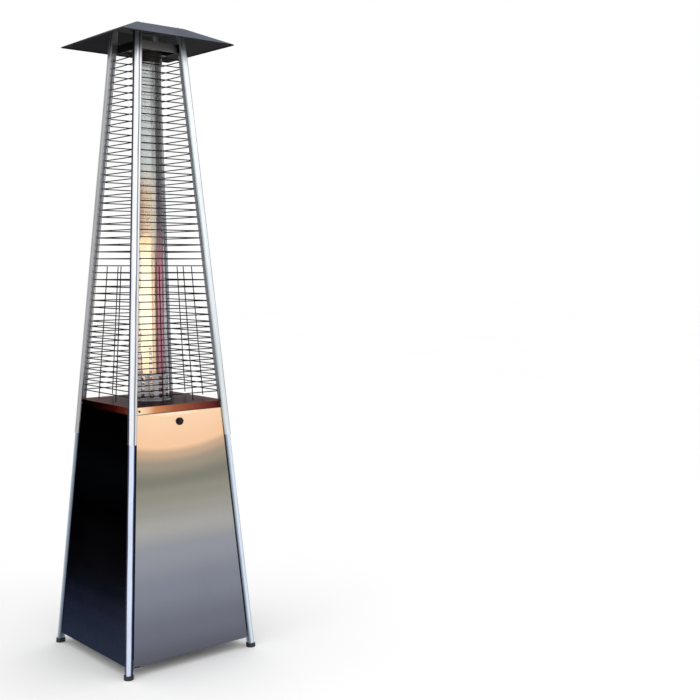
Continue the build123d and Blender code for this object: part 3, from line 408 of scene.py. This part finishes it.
for name, o in nodes.items():
    m = BY_SLOT.get(slots.get(name))
    own = OWN.get(name)
    mat = own or (m.m if m else None)
    if mat is not None:
        o.data.materials.clear()
        o.data.materials.append(mat)


def new_mesh(name, bm, mat, body="root", smooth=True):
    me = bpy.data.meshes.new(name)
    bm.to_mesh(me)
    bm.free()
    o = bpy.data.objects.new(name, me)
    scene.collection.objects.link(o)
    o.data.materials.append(mat)
    if smooth:
        for p in me.polygons:
            p.use_smooth = True
    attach(o, body)
    return o


def lathe(profile, centre, segs=96, closed=True):
    """Turns a closed profile of (r, z) about the vertical through centre."""
    bm = bmesh.new()
    rings = []
    for i in range(segs):
        t = 2 * math.pi * i / segs
        rings.append([bm.verts.new((centre[0] + r * math.cos(t), centre[1] + r * math.sin(t), z)) for r, z in profile])
    n = len(profile)
    for i in range(segs):
        a, b = rings[i], rings[(i + 1) % segs]
        for k in range(n if closed else n - 1):
            bm.faces.new((a[k], b[k], b[(k + 1) % n], a[(k + 1) % n]))
    bmesh.ops.recalc_face_normals(bm, faces=bm.faces)
    return bm


# ---------------------------------------------------------------- glass tube
def glass_material():
    """Clear heat-proof glass: see-through, with painted reflections in vertical bands across the tube: a dark
    right-hand edge, pink and dark purple bands low down beside the flame, warm flame tones at mid height and cool grey
    higher up.
    """
    m = Mat("tube_quartz_glass")
    m.set(Roughness=0.06, IOR=1.46)
    lw = m.nt.nodes.new("ShaderNodeLayerWeight")
    lw.inputs[0].default_value = 0.5
    f = lw.outputs["Facing"]
    x, y, z = m.axis(0), m.math("SUBTRACT", m.axis(1), YC), m.axis(2)
    # t runs across the tube in one fixed horizontal direction; the colour bands along it are painted reflections.
    t = m.math("DIVIDE", m.math("ADD", m.math("MULTIPLY", x, 0.7576), m.math("MULTIPLY", y, -0.6527)), 0.05)
    streak = m.noise(1.0, 3.0, 0.5, m.mapped((60, 60, 1.2)))
    t = m.math("ADD", t, m.remap(streak, 0.3, 0.7, -0.03, 0.03))
    low = m.remap(z, 1.38, 1.60, 1.0, 0.0, True)
    low_painted_reflection = m.ramp(m.remap(t, -1, 1, 0, 1), [(0.0, rgb(214, 190, 170)), (0.30, rgb(255, 248, 224)), (0.58, rgb(255, 236, 196)), (0.645, rgb(250, 222, 180)), (0.665, rgb(196, 128, 84)), (0.69, rgb(250, 224, 190)),
                                           (0.735, rgb(240, 200, 170)), (0.755, rgb(84, 36, 42)), (0.815, rgb(90, 40, 52)), (0.835, rgb(196, 120, 140)), (0.955, rgb(216, 150, 168)), (0.985, rgb(112, 62, 76)), (1.0, rgb(110, 76, 86))])
    tt = m.remap(t, -1, 1, 0, 1)
    mid = m.remap(z, 1.66, 1.80, 1.0, 0.0, True)
    grime = m.noise(1.0, 4.0, 0.6, m.mapped((90, 90, 30)))
    # Painted reflections: cool grey higher up, warm flame glow at mid height.
    cool = m.ramp(tt, [(0.0, rgb(110, 118, 124)), (0.04, rgb(188, 200, 210)), (0.21, rgb(192, 204, 212)), (0.24, rgb(224, 232, 231)), (0.67, rgb(226, 232, 228)),
                       (0.70, rgb(166, 171, 168)), (0.82, rgb(170, 175, 171)), (0.845, rgb(88, 90, 89)), (0.97, rgb(98, 100, 98)), (1.0, rgb(60, 60, 62))])
    warm = m.ramp(tt, [(0.0, rgb(120, 122, 140)), (0.04, rgb(158, 160, 178)), (0.19, rgb(176, 160, 168)), (0.23, rgb(226, 178, 138)), (0.45, rgb(255, 216, 160)), (0.66, rgb(255, 226, 180)),
                       (0.70, rgb(236, 230, 212)), (0.80, rgb(226, 220, 204)), (0.83, rgb(92, 84, 92)), (0.97, rgb(112, 102, 112)), (1.0, rgb(60, 56, 62))])
    cool = m.mix(mid, cool, warm)
    col = m.mix(low, cool, low_painted_reflection)
    col = m.mix(m.remap(grime, 0.5, 0.75, 0.0, 0.16), col, (0.5, 0.5, 0.51), "MULTIPLY")
    m.link(col, m.p.inputs["Base Color"])
    m.p.inputs["Specular IOR Level"].default_value = 0.3
    # The alpha ramps make the painted reflection bands more or less see-through.
    a_low = m.ramp(tt, [(0.0, (0.45,) * 3), (0.08, (0.10,) * 3), (0.60, (0.06,) * 3), (0.66, (0.55,) * 3), (0.70, (0.40,) * 3), (0.76, (0.72,) * 3), (0.95, (0.70,) * 3), (1.0, (0.8,) * 3)])
    a_high = m.ramp(tt, [(0.0, (0.75,) * 3), (0.04, (0.55,) * 3), (0.21, (0.50,) * 3), (0.24, (0.32,) * 3), (0.67, (0.32,) * 3), (0.70, (0.50,) * 3), (0.82, (0.52,) * 3), (0.85, (0.68,) * 3), (1.0, (0.8,) * 3)])
    alpha = m.mix(low, a_high, a_low)
    rim = m.remap(f, 0.35, 0.9, 0.0, 0.35)
    a2 = m.math("MINIMUM", m.math("ADD", m.math("MULTIPLY", alpha, m.remap(streak, 0.3, 0.7, 0.85, 1.1)), rim), 0.92)
    m.link(a2, m.p.inputs["Alpha"])
    return m


M_glass = glass_material()
gr, gw, gz0, gz1 = 0.050, 0.003, 0.932, 2.162
prof = []
for z0, s in ((gz0, -1), (gz1, 1)):
    ends = []
    for k in range(7):
        t = math.pi * k / 6
        ends.append((gr - gw / 2 + s * -math.cos(t) * gw / 2 * -1, z0 - s * gw / 2 + s * math.sin(t) * gw / 2))
    prof += ends
glass = new_mesh("glass_tube_polished", lathe(prof, (0, YC)), M_glass.m)
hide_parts("glass_tube")


# ---------------------------------------------------------------- flame
def flame_material(name, stops, strength, z0, z1, edge, alpha=None):
    m = Mat(name)
    m.set(Roughness=0.8)
    m.p.inputs["Specular IOR Level"].default_value = 0.0
    z = m.axis(2)
    wob = m.noise(1.0, 4.0, 0.62, m.mapped((55, 55, 9)), dist=1.2)
    lick = m.noise(1.0, 3.0, 0.6, m.mapped((34, 34, 16), loc=(3, 1, 0)), dist=0.8)
    h = m.math("ADD", m.remap(z, z0, z1, 0, 1), m.remap(wob, 0.3, 0.7, -0.06, 0.06))
    lw = m.nt.nodes.new("ShaderNodeLayerWeight")
    lw.inputs[0].default_value = 0.5
    hot = m.ramp(h, stops)
    hot = m.mix(m.remap(lick, 0.66, 0.76, 0, 0.5), hot, edge)
    rim = m.math("ADD", lw.outputs["Facing"], m.remap(wob, 0.3, 0.7, -0.18, 0.18))
    col = m.mix(m.remap(rim, 0.55, 0.9, 0, 1), hot, edge)
    m.link(m.mix(1.0, col, (0.25, 0.25, 0.25), "MULTIPLY"), m.p.inputs["Base Color"])
    m.link(col, m.p.inputs["Emission Color"])
    m.p.inputs["Emission Strength"].default_value = strength
    if alpha:
        fade = m.math("MULTIPLY", m.remap(lw.outputs["Facing"], 0.1, 0.9, alpha, 0.02), m.remap(m.math("ADD", z, m.remap(wob, 0.3, 0.7, -0.05, 0.05)), z1 - 0.22, z1 - 0.02, 1, 0.0, True))
        m.link(m.math("MULTIPLY", fade, m.remap(lick, 0.35, 0.65, 0.3, 1.2)), m.p.inputs["Alpha"])
    return m


HOT = [(0.0, rgb(236, 176, 140)), (0.07, rgb(250, 218, 180)), (0.16, rgb(255, 242, 208)), (0.40, rgb(255, 250, 222)), (0.85, rgb(255, 246, 214)), (1.0, rgb(246, 220, 172))]
M_flame = flame_material("flame_core", HOT, 1.22, 0.98, 1.53, rgb(206, 148, 96))
M_flame_outer = flame_material("flame_veil", [(0.0, rgb(238, 170, 130)), (0.4, rgb(252, 226, 180)), (1.0, rgb(244, 222, 184))], 0.9, 0.97, 1.66, rgb(226, 170, 124), alpha=0.16)
SX, SY = 0.7576, -0.6527       # the flame's broad direction


def tongue(name, keys, mat, segs=36, steps=110, seed=0.0, rough=0.30, wob=0.004):
    """A closed flame body through keys of (z, offset along its broad direction, half width, half depth)."""
    bm = bmesh.new()
    rings = []
    for i in range(steps + 1):
        z = keys[0][0] + (keys[-1][0] - keys[0][0]) * i / steps
        for a, b in zip(keys, keys[1:]):
            if a[0] <= z <= b[0] + 1e-9:
                t = (z - a[0]) / (b[0] - a[0])
                t = t * t * (3 - 2 * t)
                s0, w, d = (a[k] + (b[k] - a[k]) * t for k in (1, 2, 3))
                break
        ring = []
        sway = wob * noise.noise(Vector((seed, 3.0, z * 12)))
        for j in range(segs):
            ang = 2 * math.pi * j / segs
            nz = noise.noise(Vector((math.cos(ang) * 0.9 + seed, math.sin(ang) * 0.9, z * 17))) + 0.5 * noise.noise(Vector((math.cos(ang) * 2.1 + seed, math.sin(ang) * 2.1, z * 46)))
            k = 1.0 + nz * rough
            s = s0 + sway + w * k * math.cos(ang)
            q = d * k * math.sin(ang)
            ring.append(bm.verts.new((s * SX - q * SY, YC + s * SY + q * SX, z)))
        rings.append(ring)
    for a, b in zip(rings, rings[1:]):
        for j in range(segs):
            bm.faces.new((a[j], a[(j + 1) % segs], b[(j + 1) % segs], b[j]))
    lo = bm.verts.new(sum((v.co for v in rings[0]), Vector()) / segs - Vector((0, 0, 0.003)))
    hi = bm.verts.new(sum((v.co for v in rings[-1]), Vector()) / segs + Vector((0, 0, 0.012)))
    for j in range(segs):
        bm.faces.new((rings[0][(j + 1) % segs], rings[0][j], lo))
        bm.faces.new((rings[-1][j], rings[-1][(j + 1) % segs], hi))
    bmesh.ops.recalc_face_normals(bm, faces=bm.faces)
    return new_mesh(name, bm, mat.m)


tongue("flame_body", [(1.125, -0.006, 0.010, 0.012), (1.175, -0.009, 0.028, 0.024), (1.25, -0.0105, 0.032, 0.027), (1.33, -0.011, 0.030, 0.026), (1.36, -0.012, 0.022, 0.020),
                      (1.42, -0.013, 0.019, 0.018), (1.48, -0.013, 0.023, 0.020), (1.515, -0.013, 0.021, 0.018), (1.53, -0.013, 0.010, 0.010)], M_flame, seed=1.7, rough=0.22)
tongue("flame_leg_left", [(0.972, -0.018, 0.007, 0.007), (1.02, -0.021, 0.011, 0.011), (1.10, -0.023, 0.013, 0.013), (1.19, -0.021, 0.014, 0.013)], M_flame, seed=4.1)
tongue("flame_leg_right", [(0.972, 0.010, 0.005, 0.006), (1.03, 0.012, 0.008, 0.010), (1.10, 0.012, 0.009, 0.012), (1.19, 0.008, 0.011, 0.012)], M_flame, seed=7.3)
tongue("flame_veil", [(0.975, 0, 0.030, 0.028), (1.06, -0.004, 0.036, 0.034), (1.25, -0.003, 0.038, 0.036), (1.40, -0.006, 0.034, 0.032),
                      (1.54, -0.008, 0.030, 0.028), (1.66, -0.006, 0.016, 0.016)], M_flame_outer, seed=11.9, rough=0.08)

# ---------------------------------------------------------------- floor and light
bm = bmesh.new()
bmesh.ops.create_grid(bm, x_segments=2, y_segments=2, size=30)
me = bpy.data.meshes.new("floor")
bm.to_mesh(me)
bm.free()
floor = bpy.data.objects.new("floor", me)
scene.collection.objects.link(floor)
fm = Mat("floor_pale")
fm.set(Roughness=0.9)
fc = fm.mix(fm.remap(fm.noise(0.6, 3.0), 0.3, 0.7, 0, 1), (0.955, 0.955, 0.955), (0.97, 0.97, 0.97))
fm.link(fc, fm.p.inputs["Base Color"])
floor.data.materials.append(fm.m)

world = bpy.data.worlds.new("studio")
scene.world = world
world.use_nodes = True
wt = world.node_tree
wt.nodes.clear()
wo = wt.nodes.new("ShaderNodeOutputWorld")
bg_cam = wt.nodes.new("ShaderNodeBackground")
bg_cam.inputs[0].default_value = (1, 1, 1, 1)
bg_cam.inputs[1].default_value = 1.0
bg = wt.nodes.new("ShaderNodeBackground")
tc = wt.nodes.new("ShaderNodeTexCoord")
sep = wt.nodes.new("ShaderNodeSeparateXYZ")
wt.links.new(tc.outputs["Generated"], sep.inputs[0])
ramp = wt.nodes.new("ShaderNodeValToRGB")
mr = wt.nodes.new("ShaderNodeMapRange")
mr.inputs[1].default_value, mr.inputs[2].default_value = -1, 1
wt.links.new(sep.outputs[2], mr.inputs[0])
wt.links.new(mr.outputs[0], ramp.inputs[0])
el = ramp.color_ramp.elements
el[0].position, el[0].color = 0.35, (0.70, 0.70, 0.72, 1)
el[1].position, el[1].color = 0.62, (1.0, 1.0, 1.0, 1)
wt.links.new(ramp.outputs[0], bg.inputs[0])
bg.inputs[1].default_value = 1.04
lp = wt.nodes.new("ShaderNodeLightPath")
mx = wt.nodes.new("ShaderNodeMixShader")
wt.links.new(lp.outputs["Is Camera Ray"], mx.inputs[0])
wt.links.new(bg.outputs[0], mx.inputs[1])
wt.links.new(bg_cam.outputs[0], mx.inputs[2])
wt.links.new(mx.outputs[0], wo.inputs[0])


def area(name, loc, target, size, power, color=(1, 1, 1)):
    d = bpy.data.lights.new(name, "AREA")
    d.shape = "RECTANGLE"
    d.size, d.size_y = size
    d.energy = power
    d.color = color
    o = bpy.data.objects.new(name, d)
    scene.collection.objects.link(o)
    o.location = loc
    o.rotation_mode = "QUATERNION"
    o.rotation_quaternion = (Vector(target) - Vector(loc)).to_track_quat("-Z", "Y")
    return o


area("softbox_front", (1.2, -4.5, 3.2), (0, 0, 1.1), (3.0, 3.0), 25)
area("softbox_left", (-4.0, -0.5, 2.8), (0, 0, 1.2), (1.2, 3.0), 8)
